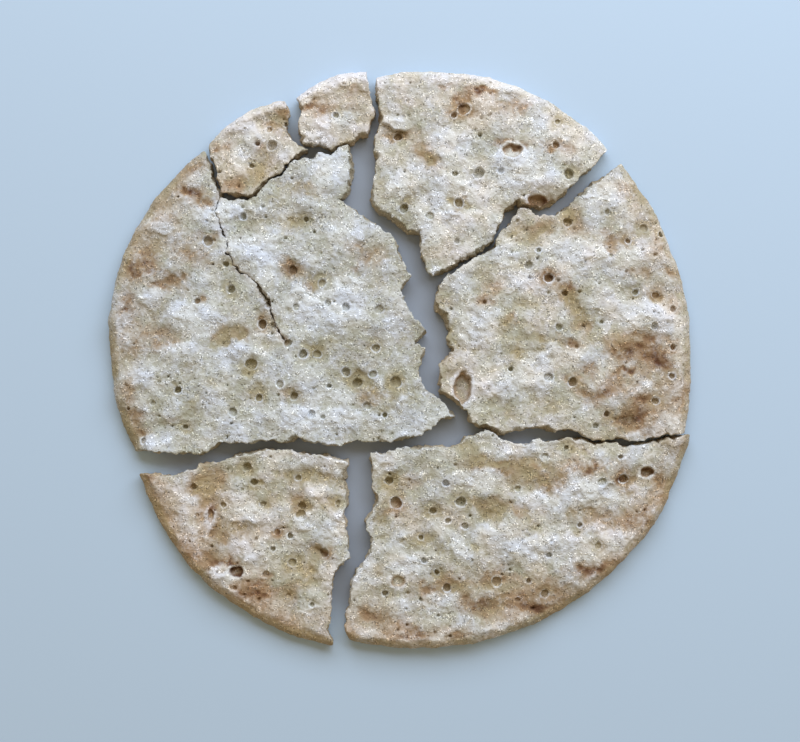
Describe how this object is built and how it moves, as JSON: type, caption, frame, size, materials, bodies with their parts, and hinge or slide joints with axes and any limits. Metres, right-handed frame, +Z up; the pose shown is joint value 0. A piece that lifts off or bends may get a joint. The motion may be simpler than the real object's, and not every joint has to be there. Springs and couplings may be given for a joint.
{
  "type": "rye crispbread",
  "caption": "Thin round rye crispbread with a bubbled, pored top crust, snapped into ragged pieces that still lie together in the round on their flat underside.",
  "frame": {"origin": "on the flat underside, below the middle of the round as its pieces lie", "axes": "+Z up out of the top crust, +X to the right and +Y to the top of the round as seen from above"},
  "size_m": [0.1306, 0.1296, 0.0052],
  "materials": {
    "crispbread": "matte"
  },
  "bodies": {
    "root": {"left_slab": "crispbread", "upper_left_chip": "crispbread", "top_chip": "crispbread", "top_right_wedge": "crispbread", "right_slab": "crispbread", "lower_left_corner": "crispbread", "lower_right_slab": "crispbread"}
  },
  "joints": []
}
